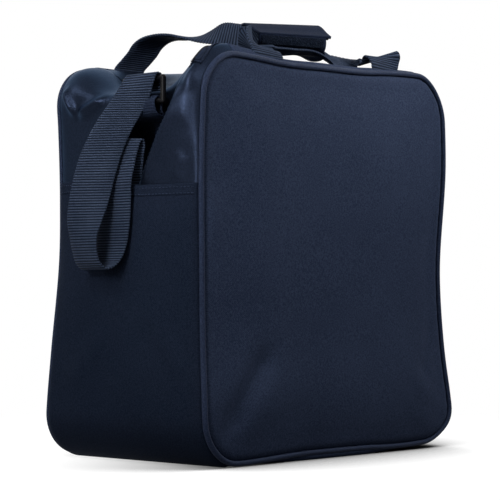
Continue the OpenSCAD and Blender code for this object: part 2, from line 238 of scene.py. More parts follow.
def rim(rows, cols):
    """Indices round the edge of a grid, in order."""
    top = list(range(cols))
    right = [r * cols + cols - 1 for r in range(1, rows)]
    bottom = [(rows - 1) * cols + c for c in range(cols - 2, -1, -1)]
    left = [r * cols for r in range(rows - 2, 0, -1)]
    return top + right + bottom + left


def normals(grid):
    return unit(np.cross(np.gradient(grid, axis=0), np.gradient(grid, axis=1)))


def closed_sheet(name, outer, inner, material, inside=None):
    """Closed sheet between two grids of points, with a second material inside where one is given."""
    rows, cols = outer.shape[:2]
    count = rows * cols
    edge = rim(rows, cols)
    wall = [(a, b, b + count, a + count) for a, b in zip(edge, edge[1:] + edge[:1])]
    face = grid_faces(rows, cols)
    back = grid_faces(rows, cols, count)
    points = np.vstack([outer.reshape(-1, 3), inner.reshape(-1, 3)])
    piece = add_mesh(name, points, face + back + wall, material)
    if inside is not None:
        piece.data.materials.append(inside)
        flags = [0] * len(face) + [1] * len(back) + [0] * len(wall)
        piece.data.polygons.foreach_set("material_index", flags)
    return piece


def sheet(name, outer, thickness, material, inside=None):
    """Closed sheet of cloth whose outer side is a grid of points."""
    return closed_sheet(name, outer, outer - normals(outer) * thickness, material, inside)


def ridge(u, v, start, end, width, height):
    """Soft ridge along a line between two points of a surface's own directions."""
    along = np.subtract(end, start)
    length = np.linalg.norm(along)
    t = ((u - start[0]) * along[0] + (v - start[1]) * along[1]) / length ** 2
    off = ((u - start[0]) * along[1] - (v - start[1]) * along[0]) / length
    fade = smooth(t / 0.3) * smooth((1 - t) / 0.3)
    return height * fade * hump(off, 0, width)


def ripple(u, v, seed, size, height):
    """Slow unevenness of cloth: a few crossed waves with set phases."""
    total = 0
    for k in range(4):
        turn = seed + 2.4 * k
        wave = (u * math.cos(turn) + v * math.sin(turn)) / (size * (1 + 0.35 * k))
        total = total + np.sin(2 * math.pi * wave + 1.7 * seed + k) / (1 + 0.5 * k)
    return height * total / 2


# Soft form of the bag: how far each upright edge stands out of the plain box, to the side and to the
# front or back, by height. An edge is named by its end (-1 left) and its face (-1 front).
EDGE_KEYS = {
    (-1, -1): [(0, 4, 5), (45, 7, 7), (99, 3, 0.7), (183, 1.8, -2), (255, 2.4, -2.2), (355, 0, 0)],
    (1, -1): [
        (0, 4, 4), (18, 7, 6), (45, 5, 4.5), (95, 0.4, 0.2), (160, -3, -2.4), (274, 1.7, 1.4), (355, 0, 0),
    ],
    (-1, 1): [(0, 7, 7), (50, 5.4, 5.2), (95, 2.8, 2.6), (186, -2.8, -2.6), (232, -3, -2.8), (355, 0, 0)],
    (1, 1): [(0, 5, 5), (50, 5.5, 5.5), (95, 2, 1.6), (186, -2.6, -2.4), (274, -0.5, 0), (355, 0, 0)],
}
STRETCH = 0.0085      # of the filled bag, upwards
END_BULGE = 5.0       # middle of each end beyond its seams
BULGE_SPANS = ((0, 90), (280, 190))      # heights over which that bulge starts and ends
SEAM_LIFT = 3.6       # of the lower seams above the base cloth
LIFT_SPANS = ((82, 91), (130, 30), (36, 0))   # of that lift: by depth, distance from the middle and height
CORNER_LIFT = 4.5     # of the front right foot, which stands off the floor
FOOT_SPANS = ((60, 160), (80, 0))        # of that foot: to the right and by height
TOP_SPAN = (300, 348)                    # heights over which the shape of the top sets in
TOP_KEYS = [   # rise of the top across its depth
    (-93.5, 0), (-85, 1), (-72, 0.3), (-40, 1), (0, 1.2), (45, 0.6), (93.5, 0),
]
CROWN_SPAN = (172, 128)                  # distances from the middle over which that rise sets in
SAG_KEYS = [   # dip of the top near its left end, by distance from the middle
    (40, 0), (75, 6), (100, 17), (120, 25), (140, 24), (160, 16), (169, 9),
]
SAG_SPANS = ((-70, -30), (84, 24))       # depths over which that dip starts and ends
RIGHT_SAG = 0.5       # share of that dip at the right end
EDGE_DIP_KEYS = [   # dip and rise of the top's front edge, along the bag
    (-169, 0), (-112, -0.6), (-61, -2.8), (-13, -1.8), (40, -0.8), (96, 3), (140, 3.4), (169, 0),
]
EDGE_DIP_SHARES = (0.65, -0.35)          # of that dip in the middle, and its change towards the back
STRIP_ROLL_KEYS = [   # rolled cloth behind the front piping, along the bag
    (-169, 7), (-127, 6.8), (-96, 5), (-56, 2.5), (0, 2.4), (38, 2), (107, 1), (169, 1),
]
STRIP_ROLL_PLACE = (-83, 7)              # depth and width of that roll
ROLL_HEIGHT = 20      # above the start of the corner at which it is full
PUFF_PLACE = (70, 20)                    # depth and width of the puffed corners at the back
PUFF_SPANS = ((130, 155), (300, 330))    # of that puff: distance from the middle and height
PUFF = (4.0, 1.5)     # outwards and upwards


def soft(points, lift=SEAM_LIFT):
    """Plain place on the box to its place on the slack bag."""
    plain = np.asarray(points, float)
    x, y, z = plain.reshape(-1, 3).T
    far = np.abs(x)
    u = np.clip(x / HALF_W, -1, 1)
    v = np.clip(y / HALF_D, -1, 1)
    pushed = np.zeros((len(x), 2))
    for (end, face), keys in EDGE_KEYS.items():
        share = (1 + end * u) * (1 + face * v) / 4
        pushed += through(keys, z) * share[:, None] * (end, face)
    bulge = END_BULGE * smooth((far - FLAT_W) / CORNER_R) * np.clip(1 - (y / PIPING_Y) ** 2, 0, 1)
    bulge = bulge * eased(z, BULGE_SPANS[0]) * eased(z, BULGE_SPANS[1])
    rise = level(TOP_KEYS, y) * eased(far, CROWN_SPAN)
    sag = level(SAG_KEYS, far) * eased(y, SAG_SPANS[0]) * eased(y, SAG_SPANS[1])
    sag = sag * np.where(x < 0, 1.0, RIGHT_SAG)
    edge_dip = level(EDGE_DIP_KEYS, x) * (EDGE_DIP_SHARES[0] + EDGE_DIP_SHARES[1] * y / HALF_D)
    puff = hump(y, *PUFF_PLACE) * eased(far, PUFF_SPANS[0]) * eased(z, PUFF_SPANS[1])
    corner_x = np.maximum(far - FLAT_W, 0)
    corner_z = np.maximum(z - (HEIGHT - CORNER_R), 0)
    corner = np.maximum(np.hypot(corner_x, corner_z), 1e-6)
    roll = level(STRIP_ROLL_KEYS, x) * hump(y, *STRIP_ROLL_PLACE) * smooth(corner_z / ROLL_HEIGHT) / corner
    near_seam = eased(np.abs(y), LIFT_SPANS[0]) * eased(far, LIFT_SPANS[1]) * eased(z, LIFT_SPANS[2])
    foot = eased(x, FOOT_SPANS[0]) * ((1 - v) / 2) ** 2 * eased(z, FOOT_SPANS[1])
    dx = pushed[:, 0] + np.sign(x) * (bulge + PUFF[0] * puff + roll * corner_x)
    dz = STRETCH * z + eased(z, TOP_SPAN) * (rise - sag + edge_dip) + PUFF[1] * puff + roll * corner_z
    dz = dz + lift * near_seam + CORNER_LIFT * foot
    return (plain.reshape(-1, 3) + np.column_stack([dx, pushed[:, 1], dz])).reshape(plain.shape)


# Outline of the front and back panels

def half_width(z, inset):
    r = CORNER_R - inset
    over = np.maximum(np.abs(z - HEIGHT / 2) - (HEIGHT / 2 - CORNER_R), 0)
    return FLAT_W + np.sqrt(np.maximum(r * r - over * over, 0))


def panel_heights(inset, arc=14, side=46):
    turn = np.radians(np.linspace(0, 90, arc + 1))
    r = CORNER_R - inset
    low = CORNER_R - r * np.cos(turn)
    middle = np.linspace(CORNER_R, HEIGHT - CORNER_R, side + 1)[1:-1]
    return np.r_[low, middle, HEIGHT - low[::-1]]


def depth_in(x, z, inset):
    """Distance inside the outline."""
    qx = np.abs(x) - FLAT_W
    qz = np.abs(z - HEIGHT / 2) - (HEIGHT / 2 - CORNER_R)
    both = np.hypot(np.maximum(qx, 0), np.maximum(qz, 0)) + np.minimum(np.maximum(qx, qz), 0)
    return CORNER_R - inset - both


def outline(inset, arc=16, side=40):
    """Closed path round a panel as (x, z), with the way out at each point."""
    r = CORNER_R - inset
    path = []
    for centre_x, centre_z, start in (
        (FLAT_W, HEIGHT - CORNER_R, 0),
        (-FLAT_W, HEIGHT - CORNER_R, 90),
        (-FLAT_W, CORNER_R, 180),
        (FLAT_W, CORNER_R, 270),
    ):
        for turn in np.radians(np.linspace(start, start + 90, arc)):
            way = (math.cos(turn), math.sin(turn))
            path.append((centre_x + r * way[0], centre_z + r * way[1], *way))
    path = np.array(path)
    full = []
    for here, after in zip(path, np.roll(path, -1, axis=0)):
        full.append(here)
        if np.allclose(here[2:], after[2:], atol=1e-6):
            full.extend(here + (after - here) * t for t in np.linspace(0, 1, side)[1:-1])
    return np.array(full)


# Materials

def new_material(name):
    material = bpy.data.materials.new(name)
    material.use_nodes = True
    return material, material.node_tree, material.node_tree.nodes["Principled BSDF"]


def set_inputs(tree, node, inputs):
    """Give a node's inputs, by name or number, their values or other nodes' sockets."""
    for key, value in inputs.items():
        if isinstance(value, bpy.types.NodeSocket):
            tree.links.new(value, node.inputs[key])
        else:
            node.inputs[key].default_value = value


def add_node(tree, kind, inputs=None, **settings):
    made = tree.nodes.new(kind)
    for key, value in settings.items():
        setattr(made, key, value)
    set_inputs(tree, made, inputs or {})
    return made


def math_node(tree, operation, a, b=0.0, c=0.0):
    return add_node(tree, "ShaderNodeMath", {0: a, 1: b, 2: c}, operation=operation).outputs[0]


def place_node(tree):
    return add_node(tree, "ShaderNodeTexCoord").outputs["Object"]


def noise(tree, place, scale, detail=2.0):
    made = add_node(tree, "ShaderNodeTexNoise", {"Vector": place, "Scale": scale, "Detail": detail})
    return made.outputs["Fac"]


def waves(tree, place, way, period):
    """Even wave from 0 to 1 along a direction, with its period in millimetres."""
    reach = add_node(tree, "ShaderNodeVectorMath", {0: place, 1: way}, operation="DOT_PRODUCT")
    turns = math_node(tree, "MULTIPLY", reach.outputs["Value"], 2 * math.pi / (period * MM))
    return math_node(tree, "MULTIPLY_ADD", math_node(tree, "SINE", turns), 0.5, 0.5)


def blend_colour(tree, share, low, high, span=(0.0, 1.0)):
    """Colour that runs from low to high as the share crosses a span."""
    made = add_node(tree, "ShaderNodeValToRGB", {"Fac": share})
    for stop, place, colour in zip(made.color_ramp.elements, span, (low, high)):
        stop.position = place
        stop.color = (*colour, 1)
    return made.outputs["Color"]


def bump(tree, height, distance):
    made = add_node(tree, "ShaderNodeBump", {"Height": height, "Distance": distance * MM, "Strength": 1.0})
    return made.outputs["Normal"]


def map_range(tree, value, span, to, kind="LINEAR"):
    """Value carried from one span to another."""
    ends = {"From Min": span[0], "From Max": span[1], "To Min": to[0], "To Max": to[1]}
    made = add_node(tree, "ShaderNodeMapRange", {"Value": value, **ends}, interpolation_type=kind)
    return made.outputs["Result"]


def woven(name, low, high, period, rough, gloss, depth, metal=0.0):
    """Plain woven cloth: crossed yarns, uneven threads and slow tone changes."""
    material, tree, shader = new_material(name)
    place = place_node(tree)
    warp = waves(tree, place, (0.7, 0.7, 0.7), period)
    weft = waves(tree, place, (0.7, 0.7, -0.7), period)
    weave = math_node(tree, "MULTIPLY", warp, weft)
    yarn = noise(tree, place, 620.0, 3.0)
    mottle = math_node(tree, "MULTIPLY", noise(tree, place, 760.0, 1.0), 0.75)
    mottle = math_node(tree, "MULTIPLY_ADD", weave, 0.12, mottle)
    tone = math_node(tree, "MULTIPLY_ADD", noise(tree, place, 9.0), 0.25, mottle)
    relief = math_node(tree, "MULTIPLY_ADD", weave, 0.6, yarn)
    set_inputs(tree, shader, {
        "Base Color": blend_colour(tree, tone, low, high, (0.4, 0.66)),
        "Roughness": map_range(tree, yarn, (0, 1), (rough - 0.08, rough + 0.1)),
        "Specular IOR Level": gloss,
        "Specular Tint": (0.62, 0.76, 1.0, 1),
        "Metallic": metal,
        "Normal": bump(tree, relief, depth),
    })
    return material


def ribbed_webbing(name, groove_shade, low, high):
    """Webbing yarn over modelled ribs: painted shade in the grooves, and worn threads on the ribs."""
    material, tree, shader = new_material(name)
    place = place_node(tree)
    yarn = noise(tree, place, 900.0)
    wear = math_node(tree, "MULTIPLY", noise(tree, place, 60.0), 0.4)
    tone = math_node(tree, "MULTIPLY_ADD", yarn, 0.6, wear)
    worn = blend_colour(tree, tone, low, high, (0.3, 0.7))
    raised = add_node(tree, "ShaderNodeAttribute", attribute_name="rib").outputs["Fac"]
    # Where the rib attribute is low the colour turns near black: painted shade in the grooves.
    mix = add_node(tree, "ShaderNodeMix", {0: raised, 6: (*groove_shade, 1), 7: worn}, data_type="RGBA")
    set_inputs(tree, shader, {
        "Base Color": mix.outputs[2],
        "Roughness": map_range(tree, yarn, (0, 1), (0.5, 0.75)),
        "Specular IOR Level": 0.02,
        "Normal": bump(tree, yarn, 0.12),
    })
    return material


def moulded(name, low, high, rough, metal=0.0):
    """Moulded plastic or plated metal with faint marks."""
    material, tree, shader = new_material(name)
    place = place_node(tree)
    grain = noise(tree, place, 350.0, 4.0)
    set_inputs(tree, shader, {
        "Base Color": blend_colour(tree, noise(tree, place, 60.0), low, high),
        "Roughness": map_range(tree, grain, (0, 1), (rough, rough + 0.15)),
        "Metallic": metal,
        "Specular IOR Level": 0.06,
        "Normal": bump(tree, grain, 0.02),
    })
    return material


def fuzzy(name, low, high):
    """Pile of hook-and-loop tape: clumped loops, with painted highlight on their tips and painted shade
    between them.
    """
    material, tree, shader = new_material(name)
    place = place_node(tree)
    clump = add_node(tree, "ShaderNodeTexVoronoi", {"Vector": place, "Scale": 620.0}).outputs["Distance"]
    height = math_node(tree, "MULTIPLY_ADD", clump, -1.0, noise(tree, place, 1500.0, 3.0))
    set_inputs(tree, shader, {
        # Colour by the loops' height: painted highlight on the tips, painted shade between the loops.
        "Base Color": blend_colour(tree, height, low, high),
        "Roughness": 0.9,
        "Specular IOR Level": 0.02,
        "Normal": bump(tree, height, 0.6),
    })
    return material


# Woven cloths: dark and light tone, yarn spacing in mm, roughness, gloss, relief in mm and sheen
cloth = woven("navy_cloth", (0.014, 0.0205, 0.0415), (0.028, 0.039, 0.072), 1.3, 0.75, 0.04, 0.12)
# The pockets take the navy cloth made darker: painted shade of the less lit ends.
shaded_pocket_cloth = woven(
    "shaded_pocket_cloth", (0.0056, 0.0088, 0.0178), (0.0114, 0.0165, 0.0306), 1.3, 0.75, 0.02, 0.12,
)
satin = woven("satin_nylon", (0.0062, 0.0092, 0.0175), (0.0113, 0.0158, 0.0288), 0.9, 0.36, 0.03, 0.05, 0.8)
grip_cloth = woven("grip_cloth", (0.006, 0.009, 0.019), (0.012, 0.017, 0.033), 1.1, 0.6, 0.01, 0.08)
piping_tape = woven("piping_tape", (0.011, 0.016, 0.034), (0.022, 0.031, 0.060), 0.9, 0.5, 0.06, 0.05)
# The first colour is the painted shade in the webbing's grooves.
webbing = ribbed_webbing("webbing", (0.003, 0.005, 0.010), (0.021, 0.030, 0.054), (0.045, 0.061, 0.098))
tape = woven("black_tape", (0.006, 0.009, 0.019), (0.014, 0.020, 0.038), 0.8, 0.65, 0.05, 0.08)
lining = woven("lining_nylon", (0.020, 0.022, 0.028), (0.042, 0.045, 0.055), 0.7, 0.5, 0.1, 0.04)
thread = woven("sewing_thread", (0.012, 0.018, 0.036), (0.030, 0.041, 0.074), 0.6, 0.6, 0.05, 0.05)
pile = fuzzy("loop_pile", (0.003, 0.005, 0.010), (0.030, 0.040, 0.066))
plastic = moulded("black_plastic", (0.002, 0.002, 0.003), (0.005, 0.005, 0.006), 0.2)
plated = moulded("zip_metal", (0.16, 0.16, 0.17), (0.34, 0.34, 0.36), 0.28, 1.0)
board = woven("board", (0.16, 0.11, 0.07), (0.30, 0.22, 0.15), 2.2, 0.85, 0.1, 0.1)


# Shoulder strap: its route repeats the solid's points, with the lean and turn of the webbing

STRAP_T = 2.0
STRAP_ROUTE = [
    (-170.5, -28, 324, 0, 0), (-170.5, -28, 335, 0, 0), (-171.7, -28, 337.9, 0, 0),
    (-174.5, -28, 339.1, 0, 0), (-177.8, -28, 338.3, 0, 0), (-180.4, -27, 333, 0, 3),
    (-183, -20, 318, 2, 14), (-186, -10.5, 304, 2, 22), (-189.5, -3, 291, 0, 26),
    (-193.5, 3.5, 275, 0, 28), (-197.5, 7.5, 258, 0, 29), (-201, 10, 241, 0, 27), (-204, 12, 224, 0, 20),
    (-206, 13.7, 211, 0, 9), (-206.5, 14.7, 199.7, 0, -3), (-204.5, 15, 185, 0, -9),
    (-201.5, 13, 174.5, 0, -9), (-197.5, 10, 170.5, 0, -7), (-193.5, 6, 172.5, 0, -5),
    (-190.5, 2, 179, 0, -2),
    (-188.5, -1.5, 190, 0, 0), (-188, -4.2, 207, 0, 2), (-187.5, -5.6, 233, 0, 2), (-187, -6, 245, 0, 0),
    (-184.5, -6.3, 256, 0, 0), (-182, -7, 268, 0, 0), (-180.5, -8.5, 276, 2, 0),
    (-179.2, -9.8, 281.5, 3, 0), (-177.4, -11, 284, 4, 0), (-175.7, -11, 281.5, 4, 0),
    (-174.5, -8.8, 270, 2, 0), (-173.4, -5, 254, 0, 0), (-172.4, -1.8, 240, 0, 0),
    (-171.8, 1, 224, 0, 0), (-171.3, 1.5, 198, -6, 0), (-171.3, -6, 165, -16, 0),
    (-171.2, -18.5, 134, -20, 0), (-171.2, -29.4, 104, -20, 0), (-171.2, -38.2, 80, -20, 0),
    (-171.7, -38.9, 78.2, -20, 0), (-172.9, -39.2, 77.4, -20, 0), (-174.1, -38.9, 78.2, -20, 0),
    (-174.6, -38.2, 80, -20, 0), (-174.7, -29, 105, -20, 0), (-174.8, -18.5, 134, -20, 0),
    (-174.9, -9, 160, -20, 0),
]
RIB_PITCH = 2.4
RIB_STEPS = 6
RIB_H = 0.4
WEBBING_STEPS = np.array([-1, -0.96, -0.6, -0.2, 0, 0.2, 0.35, 0.6, 0.96, 1])   # places across the webbing
WEBBING_EDGES = np.array([0.35, 1, 1, 1, 1, 1, 1, 1, 1, 0.35])                 # thinner at its two edges


def webbing_strip(name, route, across, thickness, width=WEBBING_W, fold=None, skewed=False):
    """Ribbed webbing along a smooth route; fold turns up the half that lies on the across side.

    Skewed webbing hangs on the bias, so its ribs follow the across side and aren't square to its edges.
    """
    turned = np.zeros(len(route)) if fold is None else np.radians(fold)
    path = resample(route, RIB_PITCH / RIB_STEPS, np.column_stack([across, turned]))
    line = path[:, :3]
    tangent = unit(np.gradient(line, axis=0))
    wide = path[:, 3:6]
    if not skewed:
        wide = wide - np.sum(wide * tangent, axis=1, keepdims=True) * tangent
    wide = unit(wide)
    face = unit(np.cross(tangent, wide))
    rib = smooth(0.75 - 0.9 * np.cos(np.arange(len(line)) * 2 * math.pi / RIB_STEPS))
    half = thickness / 2 - RIB_H * (1 - rib)
    upper = []
    lower = []
    for place, thin in zip(WEBBING_STEPS, WEBBING_EDGES):
        turn = (path[:, 6] * smooth(place / 0.3))[:, None]
        centre = line + (wide * np.cos(turn) + face * np.sin(turn)) * place * width / 2
        out = (face * np.cos(turn) - wide * np.sin(turn)) * (half * thin)[:, None]
        upper.append(centre + out)
        lower.append(centre - out)
    rings = np.stack(upper + lower[::-1], axis=1)
    rows, cols = rings.shape[:2]
    piece = add_mesh(name, rings.reshape(-1, 3), tube_faces(rows, cols), webbing)
    # The rib attribute also tells the webbing material where to paint shade in the grooves.
    raised = piece.data.attributes.new("rib", "FLOAT", "POINT")
    raised.data.foreach_set("value", np.repeat(rib, cols).astype(np.float32))
    return piece


def make_strap():
    route = np.array(STRAP_ROUTE, float)
    lean = np.radians(route[:, 3])
    turn = np.radians(route[:, 4])
    across = np.column_stack([-np.sin(turn) * np.cos(lean), np.cos(turn) * np.cos(lean), np.sin(lean)])
    piece = webbing_strip("shoulder_strap_webbing", route[:, :3], across, STRAP_T, skewed=True)
    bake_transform(piece)
    finish(piece, "webbing", "shoulder_strap")


make_strap()


# Padded front and back panels with piping, lining and seam tape

ROLL = 3.2          # how far the cloth swells beside the piping
GROOVE = 2.4        # how deep the seam lies beside the piping
DOME = 4.0          # how much further the middle swells before the simulation
PUCKER = (0.25, 8.5)         # height and spacing of the gathers along the seam
COVER_Y = PIPING_Y - 0.6     # depth of the cover's sewn edge
COVER_T = 3.4       # thickness of the padded cover at that edge
LINING_IN = 4.9     # from the cover's edge to the lining
LINING_T = 0.9
PANEL_COLS = 76
PRESSURE = 4.0
SETTLE_FRAMES = 20
SWELL_CAP = 5.0     # largest move by the simulation, which is scaled down to it
FRONT_CREASES = [   # start, end, width and height of each soft fold
    ((-150, 17), (-83, 112), 14, -7.5),
    ((-158, 110), (-150, 250), 16, 2.5),
    ((-162, 100), (-150, 210), 10, -1.6),
    ((120, 60), (150, 128), 7, -1.8),
    ((98, 88), (134, 40), 8, 1.2),
    ((-120, 30), (-20, 44), 12, -1.2),
    ((135, 150), (158, 230), 9, -1.0),
]


def swelling(grid):
    """How a panel's cloth settles over its foam, by simulation with its sewn rim held."""
    rows, cols = grid.shape[:2]
    mesh = bpy.data.meshes.new("swelling")
    mesh.from_pydata((grid.reshape(-1, 3) * MM).tolist(), [], grid_faces(rows, cols))
    piece = add_object("swelling", mesh)
    piece.vertex_groups.new(name="rim").add(rim(rows, cols), 1.0, "REPLACE")
    settings = piece.modifiers.new("swell", "CLOTH").settings
    settings.vertex_group_mass = "rim"
    settings.use_pressure = True
    settings.uniform_pressure_force = PRESSURE
    settings.effector_weights.gravity = 0
    for step in range(1, SETTLE_FRAMES + 1):
        bpy.context.scene.frame_set(step)
    settled = piece.evaluated_get(bpy.context.evaluated_depsgraph_get()).data
    moved = np.empty(rows * cols * 3, np.float32)
    settled.vertices.foreach_get("co", moved)
    bpy.data.objects.remove(piece)
    bpy.data.meshes.remove(mesh)
    bpy.context.scene.frame_set(1)
    shift = moved.reshape(grid.shape) / MM - grid
    farthest = np.linalg.norm(shift, axis=-1).max()
    return shift * min(1.0, SWELL_CAP / farthest)


def make_panel(side, name):
    """One padded panel; side is -1 for the front and 1 for the back."""
    z = panel_heights(SEAM_IN)[:, None]
    x = half_width(z, SEAM_IN) * spread(PANEL_COLS)
    d = np.maximum(depth_in(x, z, SEAM_IN), 0)
    swell = (ROLL + GROOVE) * (1 - np.exp(-np.maximum(d - 1.5, 0) / 2.2)) + DOME * smooth(d / 90)
    swell = swell + ripple(x, z, 1.0 + side, 120, 0.5) * smooth(d / 30)
    pucker = PUCKER[0] * np.sin(2 * math.pi * (x + z) / PUCKER[1]) * hump(d, 5, 4)
    for crease in FRONT_CREASES:
        swell = swell + ridge(-side * x, z, *crease) * smooth(d / 12)
    outer = places(x, side * (COVER_Y - GROOVE + swell + pucker), z)
    outer = outer + swelling(outer[::-side])[::-side] * smooth(d / 30)[..., None]
    inner = places(x, side * (COVER_Y - COVER_T - 1.2 * smooth(d / 8)), z)
    cover = closed_sheet(f"{name}_padded_cover", soft(outer), soft(inner), cloth)
    settle(cover, "bag", "bag_cloth", f"{name}_shell", f"{name}_foam")
    face = places(x, side * (COVER_Y - LINING_IN - 0.8 * smooth(d / 10)), z)
    behind = face - (0, side * LINING_T, 0)
    piece = closed_sheet(f"{name}_lining_sheet", soft(face), soft(behind), lining)
    settle(piece, "bag", "lining", f"{name}_lining")


def sewn_round(name, side, inset, section, material):
    """Section of (way out, depth) points swept round the seam of a panel."""
    x, z, way_x, way_z = outline(inset).T[:, :, None]
    out, depth = np.array(section).T
    rings = soft(places(x + out * way_x, side * depth, z + out * way_z))
    rows, cols = rings.shape[:2]
    faces = [tuple(i % (rows * cols) for i in face) for face in grid_faces(rows + 1, cols, ring=True)]
    return add_mesh(name, rings.reshape(-1, 3), faces, material)


def make_piping(side, name):
    turns = np.radians(np.arange(0, 360, 30))
    section = [(PIPING_R * math.cos(t), PIPING_Y + PIPING_R * math.sin(t)) for t in turns]
    piece = sewn_round(f"{name}_piping_cord", side, SEAM_IN, section, piping_tape)
    settle(piece, "bag", "piping", f"{name}_piping")


def make_binding(side, name):
    """Tape folded over the seam allowance inside the bag."""
    near = PIPING_Y - 6.4
    section = [(-0.6, near), (-9.0, near - 0.6), (-9.4, near - 1.5), (-9.0, near - 2.4), (-0.6, near - 2.4)]
    piece = sewn_round(f"{name}_seam_tape", side, SEAM_IN + 0.4, section, tape)
    settle(piece, "bag", "tape", f"{name}_seam_binding")


for panel_side, panel_name in ((-1, "front"), (1, "back")):
    make_panel(panel_side, panel_name)
    make_piping(panel_side, panel_name)
    make_binding(panel_side, panel_name)


# Band of cloth round the bag: ends, base and top

SEAM_EDGE = PIPING_Y - 1.0   # where the band's cloth meets the piping
ARC_TOP = HEIGHT - CORNER_R
# Slack left end by height: the depth and the height of its ridge, and the hollow behind it
RIDGE = [(200, -12), (247, -26), (271, -40), (287, -51), (304, -63), (318, -69), (340, -71)]
CREST = [(200, 0), (225, 2), (247, 6), (271, 10), (287, 11.5), (304, 11.5), (318, 9), (340, 3), (356, 0)]
HOLLOW = [(190, 0), (225, 12), (250, 21), (285, 28), (305, 21), (320, 11), (338, 4), (356, 0)]
END_FOLDS = [   # start and end as (depth, height), width and height of each fold
    ((-80, 345), (-77, 285), 9, 1.6), ((-74, 272), (-62, 244), 7, 1.6), ((82, 338), (66, 308), 4.0, 6.0),
    ((66, 308), (26, 325), 4.0, 6.0), ((34, 347), (3, 339), 1.8, 2.2), ((34, 341.5), (4, 333.5), 1.8, 2.2),
    ((32, 336), (8, 328), 1.8, 2.0),
]
RIGHT_FOLDS = 0.55    # share of these shapes at the right end


def seam_inset(y):
    return SEAM_IN * np.exp(-(SEAM_EDGE - np.abs(y)) / 2.2)


def end_path(run):
    """Place and way out up the right end, by the cloth's own length above the floor's level."""
    turn = np.clip((run - ARC_TOP) / CORNER_R, 0, None) - np.clip((CORNER_R - run) / CORNER_R, 0, None)
    z = np.clip(run, CORNER_R, ARC_TOP) + CORNER_R * np.sin(turn)
    return FLAT_W + CORNER_R * np.cos(turn), z, np.cos(turn), np.sin(turn)


def end_folds(side, y, z):
    """How far the slack upper end is pushed in."""
    flat_y = y.ravel()
    flat_z = z.ravel()
    ridge_y = level(RIDGE, flat_z)
    across = flat_y - ridge_y
    flank = np.clip((flat_y + SEAM_EDGE) / (ridge_y + SEAM_EDGE), 0, 1) * (1 - smooth(across / 14))
    pushed = level(HOLLOW, flat_z) * eased(across, (0, 12)) * eased(across, (72, 24))
    for fold in END_FOLDS:
        pushed = pushed - ridge(flat_y, flat_z, *fold)
    pushed = pushed + ripple(flat_y, flat_z, 2.0, 70, 0.7) * eased(flat_z, (235, 255))
    pushed = pushed * smooth((SEAM_EDGE - np.abs(flat_y)) / 14) - level(CREST, flat_z) * flank
    return (1.0 if side < 0 else RIGHT_FOLDS) * pushed.reshape(y.shape)


def on_end(side, run, y, out=0.0, folded=True):
    """Points on one end of the slack bag; out lifts them off its cloth."""
    x, z, way_x, way_z = end_path(run)
    inset = seam_inset(y) - out
    place = soft(places(side * (x - way_x * inset), y, z - way_z * inset))
    if folded:
        place[..., 0] -= side * end_folds(side, place[..., 1], place[..., 2])
    return place


def on_top(x, y, out=0.0):
    """Points on the top of the slack bag."""
    return soft(places(x, y, HEIGHT - seam_inset(y) + out))


SIDES = ((-1, "left"), (1, "right"))
QUARTER = CORNER_R * math.pi / 2
BAND_T = 1.5         # of the band's cloth


def make_end(side, name):
    run = np.r_[np.linspace(CORNER_R, ARC_TOP, 90), ARC_TOP + np.linspace(0, QUARTER + 3, 26)[1:]]
    outer = on_end(side, run[:, None], spread(84, 0.3) * SEAM_EDGE)
    piece = sheet(f"{name}_end_cloth", outer[:, ::-side], 1.4, satin, lining)
    settle(piece, "bag", "satin_cloth", f"{name}_end_panel")


POCKET_STAND = 9.0   # of the pocket's mouth off the end
HEM_RISE = 7.0       # of the pocket's mouth from its front seam to its back seam
POCKET_FOLDS = [((-80, 70), (-30, 150), 10, 1.4), ((70, 60), (10, 120), 12, 1.5)]


def pocket_out(run, y):
    """How far the pocket's cloth stands off the end: slack at the mouth, close to it lower down."""
    slack = POCKET_STAND * np.clip(1 - (y / SEAM_EDGE) ** 2, 0, 1) * eased(run, (50, 220))
    wrinkles = ripple(y, run, 3.0, 85, 0.9) * eased(run, (20, 50))
    for fold in POCKET_FOLDS:
        wrinkles = wrinkles + ridge(y, run, *fold)
    return 1.5 + slack + wrinkles * smooth((SEAM_EDGE - np.abs(y)) / 16)


def on_pocket(side, run, y, out=0.0):
    """Points on a pocket, whose mouth slants; out lifts them off its cloth."""
    run = run + HEM_RISE * eased(y, (-40, 70)) * eased(run, (150, 250))
    return on_end(side, run, y, pocket_out(run, y) + out, folded=False)


def make_pocket(side, name):
    run = np.linspace(CORNER_R - 0.85 * QUARTER, HEM_Z, 84)
    outer = on_pocket(side, run[:, None], spread(60, 0.3) * SEAM_EDGE)
    piece = sheet(f"{name}_shaded_pocket_cloth", outer[:, ::-side], 1.1, shaded_pocket_cloth)
    settle(piece, "bag", "bag_cloth", f"{name}_pocket")
    hem_low = HEM_Z - HEM_W
    run = np.r_[hem_low + 2.5, np.linspace(hem_low + 3, HEM_Z, 8), HEM_Z + 0.6]
    lift = np.r_[0.02, np.full(8, 0.25), 0.1]
    outer = on_pocket(side, run[:, None], spread(60, 0.3) * (SEAM_EDGE - 0.4), lift[:, None])
    piece = sheet(f"{name}_pocket_binding", outer[:, ::-side], 2.2, shaded_pocket_cloth)
    settle(piece, "bag", "bag_cloth", f"{name}_pocket_hem")
    y = np.linspace(-SEAM_EDGE + 3, SEAM_EDGE - 3, 160)
    rows = [on_pocket(side, run, y, 0.75) for run in (hem_low + 4.2, HEM_Z - 2.4)]
    settle(stitching(f"{name}_hem_stitching", rows), "bag", "bag_cloth")


STITCH_L = 2.6
STITCH_GAP = 1.2
STITCH_R = 0.32


